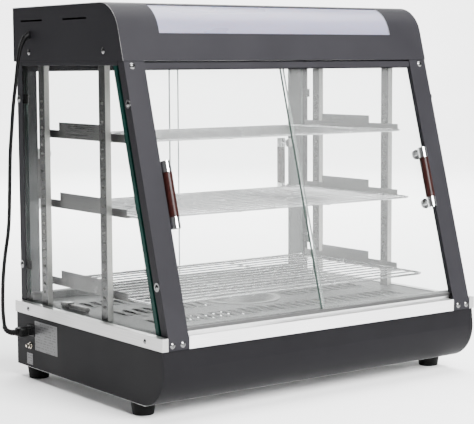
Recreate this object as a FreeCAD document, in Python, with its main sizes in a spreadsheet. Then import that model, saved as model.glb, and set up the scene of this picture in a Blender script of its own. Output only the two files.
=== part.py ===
"""Countertop hot food display case, millimetres.

The origin is on the surface the case stands on, in the middle of its footprint.
+X points to the customer's right, -Y to the customer and +Z up.
Every size is a cell of the sheet "Sizes", or an expression that is worked out from cells.
"""

import FreeCAD, Part
import math
import os
import re
import Sketcher

VECTOR = FreeCAD.Vector
doc = FreeCAD.newDocument("HotFoodDisplayCase")
sheet = doc.addObject("Spreadsheet::Sheet", "Sizes")

# Driving dimensions. A text that starts with "=" is worked out from the cells above it.
SIZES = {
    # overall case
    "half_trim": 330, "half_base": 328, "half_post": 318.5, "half_canopy": 319.5,
    "skin": 1.2, "base_low": 20.8, "base_top": 114.3, "floor_top": 134.4, "case_top": 645.9,
    "front_face": 242.4, "back_base": 229, "back_trim": 230.5, "back_post": 228.5, "back_canopy": 238.5,
    # base
    "base_bulge": 242.5, "base_lip": 239.5, "bulge_height": 85.7, "base_bend": 62, "base_side_thick": 1.5,
    "pan_thick": 1, "pan_front": 186, "panel_tail": 165, "vent_long": 60, "vent_wide": 5, "vent_pitch": 18,
    "foot_x": 307.5, "foot_front": 151, "foot_back": 189, "foot_low": 17, "foot_high": 20,
    # trim and floor
    "trim_thick": 1, "trim_flange": 12, "return_wide": 11, "ledge_back": 229.5, "riser_top": 139.3,
    "floor_front": 228.3, "pan_middle": 5, "pan_rim": 69.5, "pan_hole": 64, "pan_bowl": 44, "pan_deep": 19,
    "hood_long": 56, "hood_wide": 11, "hood_high": 3.6, "hood_skin": 0.8, "hood_pitch": 20.16,
    "hood_first": 252, "hood_row_middle": 3, "hood_row_pitch": 106, "hood_free": 85,
    "bulb_x": 292, "bulb_radius": 4, "bulb_front": 40, "bulb_back": 125,
    # posts, headers and glass
    "lean": 15.66, "slope": "=tan(lean)", "plane_front": 240.7, "post_wide": 38, "flange_outer": 18,
    "flange_inner": 10, "post_top": 552.7, "bend_height": 128.3, "side_header": 545.7,
    "front_header": 538, "rear_header": 535.6, "glass_outer": 318, "glass_thick": 6, "glass_setback": 24,
    "rear_flange": 18, "rear_lip": 4,
    # front sliding doors, measured square to the leaning plane
    "pane": 5, "outer_pane": 12, "inner_pane": 20, "door_low": 138.6, "door_high": 548,
    "door_edge": 303, "door_wide": 306, "door_shift": 6, "track_top": 145, "track_back": 207,
    "track_half": 305, "groove_gap": 0.6, "groove_low": 138,
    # rear sliding doors
    "rear_outer": 217.5, "rear_inner": 209.5, "rear_track_top": 146, "rear_edge": 303, "rear_overlap": 12,
    # door handles
    "bar_radius": 8, "bar_long": 107, "ferrule": 18, "stud_radius": 4, "cap_radius": 9, "cap_thick": 2.3,
    "front_bar_x": 272, "rear_bar_x": 268, "bar_middle": 346, "rear_bar_y": 234.5,
    # shelves
    "upright_x": 297, "upright_wide": 10, "upright_deep": 20, "upright_wall": 1, "upright_front": -40,
    "upright_back": 160, "slot_top": 485, "slot_pitch": 15, "slot_deep": 9, "slot_tall": 4,
    "bracket_x": 289, "bracket_flange": 14, "bracket_low": 13.5, "bracket_high": 27,
    "bracket_front": -84, "bracket_back": 185, "step_front": -5, "step_back": 131,
    "level_upper": 422.5, "level_middle": 302.5, "level_lower": 167.5,
    "rack_half": 286, "rack_back": 184, "rack_rim": 2, "rack_wire": 1.4, "rack_pitch": 24.8, "rack_bend": 14,
    "rack_front_upper": -100, "rack_front_middle": -124, "rack_front_lower": -158,
    # canopy
    "canopy_low": 552.7, "canopy_bend": 58, "canopy_front": 124.4, "nose_z": "=case_top - canopy_bend",
    "nose_y": "=slope * (nose_z - canopy_low) + canopy_bend / cos(lean) - canopy_front",
    "end_recess": 1.2, "window_half": 244, "window_low": 596.6, "window_angle": 18, "window_lap": 6,
    "window_thick": 2, "tube_radius": 8, "tube_half": 225, "tube_y": -72, "tube_z": 584,
    # rear controls
    "fascia_x": 150, "fascia_half": 78, "fascia_low": 40, "fascia_high": 96, "fascia_thick": 1.5,
    "knob_x": 200, "knob_z": 68, "knob_radius": 18, "knob_out": 242, "spindle_radius": 3,
    "rocker_half_wide": 6, "rocker_half_tall": 9.5, "heat_x": 158, "light_x": 128, "rocker_z": 68,
    "rocker_tilt": 10, "display_x": 93,
    # left side services
    "inlet_y": 176, "inlet_z": 87, "inlet_half_deep": 11.5, "inlet_half_tall": 9.5, "inlet_face": 334,
    "plug_end": 357, "plug_half_deep": 10, "plug_half_tall": 7,
    "earth_y": 180, "earth_z": 60, "earth_out": 337,
    "lead_radius": 3.25, "gland_y": 182, "gland_z": 598, "mains_x": 250, "mains_z": 40, "mains_radius": 7,
}


def fill_sheet():
    """Puts each size in its own cell, with its name as the alias."""
    for row, (name, value) in enumerate(SIZES.items(), start=1):
        cell = "B%d" % row
        sheet.set("A%d" % row, name)
        sheet.set(cell, str(value))
        sheet.setAlias(cell, name)
    doc.recompute()


def size(name):
    """The value of one cell."""
    return float(sheet.get(name))


def cells(text):
    """Turns the names in an expression into references to the sheet."""
    def refer(match):
        word = match.group()
        return "Sizes." + word if word in SIZES else word

    return re.sub(r"[a-z][a-z_]+", refer, str(text))


def bind(thing, **expressions):
    """Binds properties of an object to expressions."""
    for name, text in expressions.items():
        thing.setExpression(name, cells(text))
    return thing


def place(thing, x=0, y=0, z=0):
    """Binds the position of an object to expressions."""
    for name, text in (("x", x), ("y", y), ("z", z)):
        thing.setExpression("Placement.Base." + name, cells(text))
    return thing


def turn(thing, axis, angle):
    """Turns an object about an axis through its own origin."""
    thing.Placement = FreeCAD.Placement(thing.Placement.Base, FreeCAD.Rotation(VECTOR(*axis), 1))
    thing.setExpression("Placement.Rotation.Angle", cells(angle))
    return thing


def block(x, y, z, label="block"):
    """A box between pairs of expressions."""
    box = doc.addObject("Part::Box", "Block")
    box.Label = label
    spans = [("Length", x), ("Width", y), ("Height", z)]
    for name, (low, high) in spans:
        box.setExpression(name, cells("(%s) - (%s)" % (high, low)))
    return place(box, x[0], y[0], z[0])


def rod(radius, length, axis, x=0, y=0, z=0, label="rod"):
    """A cylinder that starts at a point and runs along +X, +Y or +Z."""
    cylinder = doc.addObject("Part::Cylinder", "Rod")
    cylinder.Label = label
    bind(cylinder, Radius=radius, Height=length)
    if axis == "X":
        turn(cylinder, (0, 1, 0), 90)
    if axis == "Y":
        turn(cylinder, (-1, 0, 0), 90)
    return place(cylinder, x, y, z)


def fuse(label, shapes):
    """One solid from several that touch."""
    result = doc.addObject("Part::MultiFuse", "Fuse")
    result.Shapes = shapes
    result.Label = label
    return result


def cut(label, base, tools):
    """A solid with one or more tools taken out of it."""
    tool = tools[0]
    if len(tools) > 1:
        tool = fuse(label + "_tools", tools)
    result = doc.addObject("Part::Cut", "Cut")
    result.Base = base
    result.Tool = tool
    result.Label = label
    return result


def group(label, shapes):
    """Several separate solids in one node."""
    result = doc.addObject("Part::Compound", "Group")
    result.Links = shapes
    result.Label = label
    return result


def mirror(label, source, normal=(1, 0, 0)):
    """The same piece for the other side of the case."""
    result = doc.addObject("Part::Mirroring", "Mirror")
    result.Source = source
    result.Normal = VECTOR(*normal)
    result.Label = label
    return result


def body(label):
    """An empty body for sketched features."""
    result = doc.addObject("PartDesign::Body", "Body")
    result.Label = label
    return result


def origin_item(piece, role):
    """A plane or an axis of a body's own origin."""
    return next(item for item in piece.Origin.OriginFeatures if item.Role == role)


def outline(piece, plane, offset, loops):
    """A sketch on one of the body's planes, moved along the plane's normal.

    A loop is a list of corners, each a pair of expressions, or one circle (u, v, radius).
    """
    sketch = piece.newObject("Sketcher::SketchObject", "Outline")
    sketch.AttachmentSupport = (origin_item(piece, plane + "_Plane"), "")
    sketch.MapMode = "FlatFace"
    sketch.setExpression("AttachmentOffset.Base.z", cells(offset))
    for loop in loops:
        if isinstance(loop, tuple):
            draw_circle(sketch, *loop)
        else:
            draw_polygon(sketch, loop)
    return sketch


def pin_point(sketch, edge, end, u, v):
    """Ties one point of a sketch to two expressions."""
    for kind, text in (("DistanceX", u), ("DistanceY", v)):
        number = sketch.addConstraint(Sketcher.Constraint(kind, -1, 1, edge, end, 1.0))
        sketch.setExpression("Constraints[%d]" % number, cells(text))


def draw_circle(sketch, u, v, radius):
    """A circle with its centre and radius bound."""
    edge = sketch.addGeometry(Part.Circle(VECTOR(1, 1, 0), VECTOR(0, 0, 1), 1.0))
    number = sketch.addConstraint(Sketcher.Constraint("Radius", edge, 1.0))
    sketch.setExpression("Constraints[%d]" % number, cells(radius))
    pin_point(sketch, edge, 3, u, v)


def draw_polygon(sketch, corners):
    """A closed run of lines with every corner bound."""
    count = len(corners)
    start = [
        VECTOR(50 * math.cos(2 * math.pi * i / count), 50 * math.sin(2 * math.pi * i / count), 0)
        for i in range(count)
    ]
    edges = [sketch.addGeometry(Part.LineSegment(start[i], start[(i + 1) % count])) for i in range(count)]
    for i in range(count):
        sketch.addConstraint(Sketcher.Constraint("Coincident", edges[i], 2, edges[(i + 1) % count], 1))
    for edge, (u, v) in zip(edges, corners):
        pin_point(sketch, edge, 1, u, v)


def extent(plane, low, high):
    """Sketch offset and length for a span along a plane's normal (XZ's normal is -Y)."""
    offset = "-(%s)" % high if plane == "XZ" else low
    return offset, "(%s) - (%s)" % (high, low)


def pad(piece, plane, low, high, *loops):
    """Adds a prism between two expressions along the plane's normal."""
    offset, length = extent(plane, low, high)
    feature = piece.newObject("PartDesign::Pad", "Pad")
    feature.Profile = outline(piece, plane, offset, loops)
    return bind(feature, Length=length)


def pocket(piece, plane, low, high, *loops):
    """Takes a prism out between two expressions along the plane's normal."""
    offset, length = extent(plane, low, high)
    feature = piece.newObject("PartDesign::Pocket", "Pocket")
    feature.Profile = outline(piece, plane, offset, loops)
    feature.Reversed = True
    return bind(feature, Length=length)


def repeat(piece, feature, axis, length, count):
    """Repeats a feature in a row along an axis of the body."""
    pattern = piece.newObject("PartDesign::LinearPattern", "Row")
    pattern.Originals = [feature]
    pattern.Direction = (origin_item(piece, axis + "_Axis"), [""])
    pattern.Occurrences = count
    bind(pattern, Length=length)
    piece.Tip = pattern
    return pattern


def fillet(piece, base, radius, test):
    """Rounds the edges of a feature whose middle point passes a test."""
    doc.recompute()
    names = [
        "Edge%d" % (i + 1)
        for i, edge in enumerate(base.Shape.Edges)
        if test(edge.valueAt((edge.FirstParameter + edge.LastParameter) / 2), edge)
    ]
    feature = piece.newObject("PartDesign::Fillet", "Round")
    feature.Base = (base, names)
    return bind(feature, Radius=radius)


def near(y, z):
    """A test for edges along X through a point of the YZ plane."""
    def test(point, edge):
        along_x = abs(edge.Vertexes[0].X - edge.Vertexes[-1].X) > 1e-3
        return along_x and abs(point.y - y) < 0.05 and abs(point.z - z) < 0.05
    return test


def rectangle(low_u, high_u, low_v, high_v):
    """The four corners of a rectangle."""
    return [(low_u, low_v), (high_u, low_v), (high_u, high_v), (low_u, high_v)]


def leaning(depth, height):
    """The y of a point some depth behind the leaning front plane, both as expressions."""
    return "-plane_front + slope * ((%s) - floor_top) + (%s)" % (height, depth)


def square_depth(depth):
    """A depth measured square to the leaning plane, turned into one along Y."""
    return "(%s) / cos(lean)" % depth


def slab(near_depth, far_depth, low, high):
    """The side view of a leaning slab between two depths and two heights."""
    return [
        (leaning(near_depth, low), low), (leaning(near_depth, high), high),
        (leaning(far_depth, high), high), (leaning(far_depth, low), low),
    ]


def tube(label, points, radius, bends):
    """A round tube along straight runs joined by tangent arcs."""
    edges = []
    start = points[0]
    for corner, after, bend in zip(points[1:-1], points[2:], bends):
        arriving = (corner - start).normalize()
        leaving = (after - corner).normalize()
        half_turn = arriving.getAngle(leaving) / 2
        back = bend * math.tan(half_turn)
        first = corner - arriving * back
        last = corner + leaving * back
        inward = (leaving - arriving).normalize()
        middle = corner + inward * (bend / math.cos(half_turn) - bend)
        edges.append(Part.LineSegment(start, first).toShape())
        edges.append(Part.Arc(first, middle, last).toShape())
        start = last
    edges.append(Part.LineSegment(start, points[-1]).toShape())
    path = Part.Wire(edges)
    heading = (points[1] - points[0]).normalize()
    section = Part.Wire(Part.Circle(points[0], heading, radius).toShape())
    feature = doc.addObject("Part::Feature", "Tube")
    feature.Shape = path.makePipeShell([section], True, False)
    feature.Label = label
    return feature, path.Length


def free_bends(points):
    """The largest arc each corner of a route leaves room for: 0.45 of its shorter run."""
    bends = []
    for before, corner, after in zip(points, points[1:], points[2:]):
        shorter = min((corner - before).Length, (after - corner).Length)
        half_turn = (corner - before).getAngle(after - corner) / 2
        bends.append(0.45 * shorter / math.tan(half_turn))
    return bends


# ---------------------------------------------------------------- base

def side_profile(inset):
    """The side view of the base, inside its outer face by an inset."""
    return [
        ("back_base - %s" % inset, "base_low + pan_thick + %s" % inset),
        ("back_base - %s" % inset, "base_top"),
        ("-base_lip + %s" % inset, "base_top"),
        ("-base_bulge + %s" % inset, "bulge_height"),
        ("-base_bulge + %s" % inset, "base_low + pan_thick + %s" % inset),
    ]


def rounded_prism(label, profile, half, radius, corner):
    """A prism across the case with one corner of its side view rounded."""
    prism = body(label)
    low, high = half if isinstance(half, tuple) else ("-(%s)" % half, half)
    sharp = pad(prism, "YZ", low, high, profile)
    fillet(prism, sharp, radius, near(*corner))
    return prism


def low_corner(inset):
    """Where the sharp lower front corner of the base profile is, as two numbers."""
    return inset - size("base_bulge"), size("base_low") + size("pan_thick") + inset


def make_base_side():
    """A side panel with the same rounded lower front corner as the front panel."""
    span = ("half_base - base_side_thick", "half_base")
    return rounded_prism("base_side_right", side_profile(0), span, "base_bend", low_corner(0))


def make_front_panel():
    """The front panel, wrapped from the trim round under the front."""
    edge = "half_base - base_side_thick"
    outer = side_profile(0)
    outer[0] = ("-panel_tail", outer[0][1])
    outer[1] = ("-panel_tail", outer[1][1])
    inner = side_profile("skin")
    inner[0] = ("-panel_tail + skin", inner[0][1])
    inner[1] = ("-panel_tail + skin", "base_top - skin")
    inner[2] = (inner[2][0], "base_top - skin")
    shell = rounded_prism("front_shell", outer, edge, "base_bend", low_corner(0))
    hollow = rounded_prism("front_hollow", inner, edge, "base_bend - skin", low_corner(size("skin")))
    cut("base_front_panel", shell, [hollow])


def make_rear_panel():
    """The rear panel with its vent row, the spindle hole and the openings for the switches."""
    panel = body("base_rear_panel")
    edge = "half_base - base_side_thick"
    low, high = "back_base - skin", "back_base"
    pad(panel, "XZ", low, high, rectangle("-(%s)" % edge, edge, "base_low + pan_thick", "base_top"))
    pad(panel, "XY", "base_top - skin", "base_top", rectangle("-(%s)" % edge, edge, "back_base - 12", high))
    pocket(panel, "XZ", low, high, ("-knob_x", "knob_z", "spindle_radius + 1"))
    pocket(panel, "XZ", low, high, ("-mains_x", "mains_z", "mains_radius"))
    for place_x in ("-heat_x", "-light_x", "-display_x"):
        opening = rectangle(place_x + " - 10", place_x + " + 10", "rocker_z - 13", "rocker_z + 13")
        pocket(panel, "XZ", low, high, opening)
    vent = pocket(panel, "XZ", low, high, rectangle(40, "40 + vent_wide", 45, "45 + vent_long / 1.5"))
    repeat(panel, vent, "X", "vent_pitch * 9", 10)
    return panel


def make_base_pan():
    """The bright bottom sheet, with vent slots, whose front edge shows under the front panel."""
    pan = body("base_pan")
    edge = "half_base - base_side_thick"
    sheet_outline = rectangle("-(%s)" % edge, edge, "-pan_front", "back_base")
    pad(pan, "XY", "base_low", "base_low + pan_thick", sheet_outline)
    start = "-9 * vent_pitch / 2"
    slot = rectangle(start, start + " + vent_wide", "-vent_long / 2", "vent_long / 2")
    vent = pocket(pan, "XY", "base_low", "base_low + pan_thick", slot)
    repeat(pan, vent, "X", "vent_pitch * 9", 10)
    return pan


def make_feet():
    """Four tapered rubber feet with a recess for their screw."""
    feet = []
    for side in ("-foot_x", "foot_x"):
        for depth in ("-foot_front", "foot_back"):
            cone = doc.addObject("Part::Cone", "Cone")
            bind(cone, Radius1="foot_low", Radius2="foot_high", Height="base_low")
            place(cone, side, depth, 0)
            recess = rod(6, 9, "Z", side, depth, 0)
            feet.append(cut("foot", cone, [recess]))
    group("feet", feet)


# ---------------------------------------------------------------- trim and floor

def make_trim():
    """The band round the left, the rear and the right, a channel with flanges turned inward."""
    trim = body("trim_surround")
    out, back, face = "half_trim", "back_trim", "-front_face"
    behind, inside = "-front_face + 2.2", "-front_face + 3"

    def ring(front, side_width, back_width):
        inner = "half_trim - %s" % side_width
        inner_back = "back_trim - %s" % back_width
        return [
            ("-" + out, front), ("-" + out, back), (out, back), (out, front),
            (inner, front), (inner, inner_back), ("-(%s)" % inner, inner_back), ("-(%s)" % inner, front),
        ]
    pad(trim, "XY", "base_top", "floor_top", ring(face, "trim_thick", "trim_thick"))
    pad(trim, "XY", "base_top", "base_top + trim_thick", ring(inside, "trim_flange", "trim_flange"))
    pad(trim, "XY", "floor_top - trim_thick", "floor_top", ring(inside, "trim_flange", 3.3))
    returns = [
        ("return_wide", face, "floor_top"),
        ("return_wide + post_wide - 1", face + " + skin", "bend_height - 0.3"),
    ]
    for width, front, top in returns:
        right = rectangle("half_trim - (%s)" % width, out, front, behind)
        left = rectangle("-half_trim", "-half_trim + %s" % width, front, behind)
        pad(trim, "XY", "base_top", top, right)
        pad(trim, "XY", "base_top", top, left)


def make_trim_front():
    """The stepped front strip: face, ledge and riser."""
    strip = body("trim_front")
    half = "half_post - post_wide - 0.2"
    profile = [
        ("-front_face", "base_top"), ("-front_face", "floor_top"), ("-ledge_back", "floor_top"),
        ("-ledge_back", "riser_top"), ("-ledge_back + trim_thick", "riser_top"),
        ("-ledge_back + trim_thick", "floor_top - trim_thick"),
        ("-front_face + trim_thick", "floor_top - trim_thick"), ("-front_face + trim_thick", "base_top"),
    ]
    pad(strip, "YZ", "-(%s)" % half, half, profile)


def make_floor():
    """The floor plate: down-turned edges, the hole for the water pan and three rows of louvre hoods."""
    blank = body("floor_blank")
    half, top = "half_trim - trim_thick - 0.3", "floor_top - trim_thick"
    front, back = "-floor_front", "back_trim - trim_thick - 0.3"
    pad(blank, "XY", top + " - 1", top, rectangle("-(%s)" % half, half, front, back))
    skirts = [
        rectangle("-(%s)" % half, half, back + " - 1", back),
        rectangle("-(%s)" % half, "-(%s) + 1" % half, front, back),
        rectangle(half + " - 1", half, front, back),
    ]
    for skirt in skirts:
        pad(blank, "XY", "base_top + trim_thick", top, skirt)
    pocket(blank, "XY", top + " - 1", top, (0, "pan_middle", "pan_hole"))
    doc.recompute()
    floor = doc.addObject("Part::Feature", "Floor")
    hoods, cuts = louvres()
    floor.Shape = blank.Shape.fuse(hoods).cut(cuts)
    floor.Label = "floor_plate"


def louvres():
    """Every hood, and what is cut out under each; a hood is a long low lens, open on its -X side."""
    long, wide, high = size("hood_long"), size("hood_wide"), size("hood_high")
    skin, pitch, first = size("hood_skin"), size("hood_pitch"), size("hood_first")
    top = size("floor_top") - size("trim_thick")
    tip, root, slot_end = 0.4, 0.5, 4

    def lens(height, length, start, end, foot, end_height):
        crown = ((length / 2) ** 2 + height ** 2) / (2 * height)
        drum = Part.makeCylinder(crown, wide + 2, VECTOR(-1, 0, height - crown), VECTOR(1, 0, 0))
        side = [
            VECTOR(start, -length, foot), VECTOR(end, -length, foot),
            VECTOR(end, -length, end_height), VECTOR(start, -length, height + 0.01),
        ]
        ramp = Part.Face(Part.makePolygon(side + side[:1])).extrude(VECTOR(0, 2 * length, 0))
        return drum.common(ramp)

    hood = lens(high, long, 0, wide, -root, tip)
    hollow = lens(high - skin, long - 4 * skin, -root, wide - 3 * skin, 0.05, 0.3)
    slot = Part.makeBox(wide - 3 * skin, long - 2 * slot_end, 2.1, VECTOR(0, slot_end - long / 2, -2))
    hoods, cuts = [], []
    count = int(round(2 * first / pitch)) + 1
    for row in (-1, 0, 1):
        y = row * size("hood_row_pitch") - size("hood_row_middle")
        for column in range(count):
            x = column * pitch - first
            if row == 0 and abs(x) < size("hood_free"):
                continue
            spot = VECTOR(x - wide / 2, y, top)
            hoods.append(hood.translated(spot))
            cuts += [hollow.translated(spot), slot.translated(spot)]
    return hoods, cuts


def make_water_pan():
    """The round drop-in pan: a rolled rim that lies on the floor and a shallow bowl."""
    pan = body("water_pan")
    rim = "floor_top - trim_thick"
    profile = [
        (0, rim + " - pan_deep"), ("pan_bowl", rim + " - pan_deep"), ("pan_hole - 3", rim),
        ("pan_rim", rim), ("pan_rim", rim + " + 1.4"), ("pan_hole - 3.6", rim + " + 1.4"),
        ("pan_bowl - 0.6", rim + " - pan_deep + 1"), (0, rim + " - pan_deep + 1"),
    ]
    turned = piece_of_turning(pan, profile)
    doc.recompute()
    return place(turned, 0, "pan_middle", 0)


def piece_of_turning(piece, profile):
    """Turns a side view in the XZ plane about the Z axis and returns the body."""
    feature = piece.newObject("PartDesign::Revolution", "Turning")
    feature.Profile = outline(piece, "XZ", 0, [profile])
    feature.ReferenceAxis = (origin_item(piece, "Z_Axis"), [""])
    feature.Angle = 360
    return piece


def make_bulb():
    """The sensing bulb of the thermostat, lying on the floor under a small clip."""
    top, height = "floor_top - trim_thick", "floor_top - trim_thick + bulb_radius"
    bulb = rod("bulb_radius", "bulb_back - bulb_front", "Y", "-bulb_x", "bulb_front", height)
    strap = cut("strap", block(("-bulb_x - 6", "-bulb_x + 6"), (96, 108), (top, top + " + 9.6")), [
        rod("bulb_radius + 0.1", 20, "Y", "-bulb_x", 92, height),
        block(("-bulb_x - bulb_radius - 0.1", "-bulb_x + bulb_radius + 0.1"), (92, 112), (top, height)),
    ])
    tab = block(("-bulb_x + 6", "-bulb_x + 16"), (96, 108), (top, top + " + 1.2"))
    group("thermostat_bulb", [bulb, fuse("clip", [strap, tab])])


# ---------------------------------------------------------------- tracks, headers, posts, glass

def groove(piece, depth, low, high):
    """A leaning groove for a sliding pane, along the whole piece."""
    start, end = square_depth("%s - groove_gap" % depth), square_depth("%s + pane + groove_gap" % depth)
    loop = slab(start, end, low, high)
    pocket(piece, "YZ", "-track_half - 1", "track_half + 1", loop)


def make_front_track():
    """The bottom track of the front doors, behind the riser of the trim."""
    track = body("front_track")
    profile = [
        ("-ledge_back + trim_thick", "floor_top - trim_thick"), ("-ledge_back + trim_thick", "riser_top"),
        ("-ledge_back", "riser_top"), ("-ledge_back", "track_top - 1"), ("-ledge_back + 1", "track_top"),
        ("-track_back", "track_top"), ("-track_back", "floor_top - trim_thick"),
    ]
    pad(track, "YZ", "-track_half", "track_half", profile)
    groove(track, "outer_pane", "groove_low", "track_top + 2")
    groove(track, "inner_pane", "groove_low", "track_top + 2")


def make_rear_track():
    """The bottom track of the rear doors."""
    track = body("rear_track")
    top = "floor_top - trim_thick"
    rail = rectangle("track_back", "back_post - rear_lip - 0.2", top, "rear_track_top")
    pad(track, "YZ", "-track_half", "track_half", rail)
    for start in ("rear_outer", "rear_inner"):
        end = start + " + pane + groove_gap"
        loop = rectangle(start + " - groove_gap", end, "groove_low", "rear_track_top + 2")
        pocket(track, "YZ", "-track_half - 1", "track_half + 1", loop)


def make_front_header():
    """The top guide of the front doors: a face between the posts and three walls that guide the panes."""
    header = body("front_header")
    half = "half_post - post_wide - 0.2"
    low, high = "front_header", "post_top - 2.5"
    web = high + " - 1.5"
    outer = "outer_pane - groove_gap"
    middle = "outer_pane + pane + groove_gap"
    inner = "inner_pane - groove_gap"
    last = "inner_pane + pane + groove_gap"
    pad(header, "YZ", "-(%s)" % half, half, slab(square_depth(1.5), square_depth(3), low + " + 2.2", high))
    pad(header, "YZ", "-(%s)" % half, half, slab(square_depth(3), square_depth(outer), web, high))
    guides = [
        (outer + " - 1.2", outer, low), (middle, inner, low + " + 3"), (last, last + " + 1.2", low),
    ]
    for start, end, bottom in guides:
        loop = slab(square_depth(start), square_depth(end), bottom, high)
        pad(header, "YZ", "-track_half", "track_half", loop)
    roof = slab(square_depth(outer + " - 1.2"), square_depth(last + " + 1.2"), web, high)
    pad(header, "YZ", "-track_half", "track_half", roof)


def make_rear_header():
    """The top guide of the rear doors."""
    header = body("rear_header")
    rail = rectangle("track_back", "back_post - rear_lip - 0.2", "rear_header", "post_top")
    pad(header, "YZ", "-track_half", "track_half", rail)
    for start in ("rear_outer", "rear_inner"):
        end = start + " + pane + groove_gap"
        loop = rectangle(start + " - groove_gap", end, "rear_header - 1", "door_high + 1")
        pocket(header, "YZ", "-track_half - 1", "track_half + 1", loop)


def make_side_headers():
    """A box rail over each side pane."""
    front = leaning("flange_outer + 2.2", "side_header")
    back = "back_post - rear_flange - 0.3"
    right = block(("track_half + 1", "half_post"), (front, back), ("side_header", "post_top"))
    group("side_headers", [right, mirror("left", right)])


def make_front_post():
    """A leaning folded post: face, outer and inner flanges, and a foot plate over the trim."""
    post = body("front_post_right")
    out, inner = "half_post", "half_post - post_wide"
    pad(post, "YZ", inner, out, [
        ("-front_face", "base_top + 0.2"), ("-front_face", "bend_height"),
        (leaning(0, "post_top"), "post_top"),
        (leaning("skin", "post_top"), "post_top"), ("-front_face + skin", "bend_height + 0.4"),
        ("-front_face + skin", "base_top + 0.2"),
    ])
    pad(post, "YZ", out + " - skin", out, slab("skin / 2", "flange_outer", "floor_top", "post_top"))
    pad(post, "YZ", inner, inner + " + skin", slab("skin / 2", "flange_inner", "track_top + 0.2", "post_top"))
    mirror("front_post_left", post)


def make_rear_post():
    """An upright folded post with a deep outer flange and a small inner lip."""
    post = body("rear_post_right")
    out, inner = "half_post", "half_post - post_wide"
    low, high = "floor_top", "post_top"
    pad(post, "XY", low, high, [
        (inner, "back_post"), (out, "back_post"), (out, "back_post - rear_flange"),
        (out + " - skin", "back_post - rear_flange"), (out + " - skin", "back_post - skin"),
        (inner + " + skin", "back_post - skin"), (inner + " + skin", "back_post - rear_lip"),
        (inner, "back_post - rear_lip"),
    ])
    mirror("rear_post_left", post)


def make_side_glass():
    """A side pane between the posts, with a front edge parallel to the leaning post."""
    pane = body("side_glass_right")
    low, high = "floor_top - trim_thick", "side_header"
    back = "back_post - rear_flange - 1"
    profile = [
        (leaning("glass_setback", low), low), (leaning("glass_setback", high), high),
        (back, high), (back, low),
    ]
    pad(pane, "YZ", "glass_outer - glass_thick", "glass_outer", profile)
    mirror("side_glass_left", pane)


# ---------------------------------------------------------------- doors

def make_front_door(side, x_low, bar_x, depth):
    """One leaning pane, with two holes for the studs of its handle."""
    pane = body("blank")
    loop = slab(square_depth(depth), square_depth("%s + pane" % depth), "door_low", "door_high")
    pad(pane, "YZ", x_low, "(%s) + door_wide" % x_low, loop)
    doc.recompute()
    make_handle("front_" + side, pane, bar_x, leaning(0, "bar_middle"), depth, False)


def make_rear_door(side, x_low, bar_x, start):
    """One upright rear pane, with two holes for the studs of its handle."""
    width = "rear_edge + rear_overlap"
    span = (x_low, "(%s) + %s" % (x_low, width))
    pane = block(span, (start, start + " + pane"), ("door_low", "rear_header + 11"))
    make_handle("rear_" + side, pane, bar_x, "rear_bar_y", "rear_bar_y - (%s + pane)" % start, True)


def make_handle(name, pane, x, y, depth, rear):
    """A wooden bar with chrome ends, each on a stud through the pane with a round cap inside.

    The handle is drawn upright with the pane on its +Y side, then leaned or turned into place.
    """
    reach = "%s + pane" % depth
    half = "bar_long / 2"

    def settle(thing):
        if rear:
            turn(thing, (0, 0, 1), 180)
        else:
            turn(thing, (-1, 0, 0), "lean")
        return place(thing, x, y, "bar_middle")

    grip = rod("bar_radius", "bar_long - 2 * ferrule", "Z", 0, 0, "-(%s) + ferrule" % half)
    settle(group("%s_handle_grip" % name, [grip]))
    ends, holes = [], []
    for sign, low in ((-1, "-(%s)" % half), (1, "%s - ferrule" % half)):
        middle = "(%s) + ferrule / 2" % low
        sleeve = rod("bar_radius", "ferrule", "Z", 0, 0, low)
        stud = rod("stud_radius", reach, "Y", 0, 0, middle)
        cap = rod("cap_radius", "cap_thick", "Y", 0, reach, middle)
        ends.append(fuse("end", [sleeve, stud, cap]))
        holes.append(rod("stud_radius", "(%s) + 6" % reach, "Y", 0, 0, middle))
    settle(group("%s_handle_ends" % name, ends))
    drill = settle(fuse("drill", holes))
    cut("%s_door_glass" % name, pane, [drill])


# ---------------------------------------------------------------- shelves

def make_uprights():
    """Four slotted tubes that carry the brackets."""
    low, high = "floor_top - trim_thick", "side_header"
    count = 23
    pieces = []
    for middle in ("upright_front", "upright_back"):
        upright = body("upright")
        x_low, x_high = "upright_x", "upright_x + upright_wide"
        y_low, y_high = middle + " - upright_deep / 2", middle + " + upright_deep / 2"
        wall = "upright_wall"
        outer = rectangle(x_low, x_high, y_low, y_high)
        inner = rectangle(
            x_low + " + " + wall, x_high + " - " + wall, y_low + " + " + wall, y_high + " - " + wall
        )
        pad(upright, "XY", low, high, outer, inner)
        row = "slot_top - slot_pitch * %d" % (count - 1)
        opening = rectangle(
            middle + " - slot_deep / 2", middle + " + slot_deep / 2",
            row + " - slot_tall / 2", row + " + slot_tall / 2",
        )
        slot = pocket(upright, "YZ", x_low + " - 1", x_high + " + 1", opening)
        repeat(upright, slot, "Z", "slot_pitch * %d" % (count - 1), count)
        pieces += [upright, mirror("upright", upright)]
    group("shelf_uprights", pieces)


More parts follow.
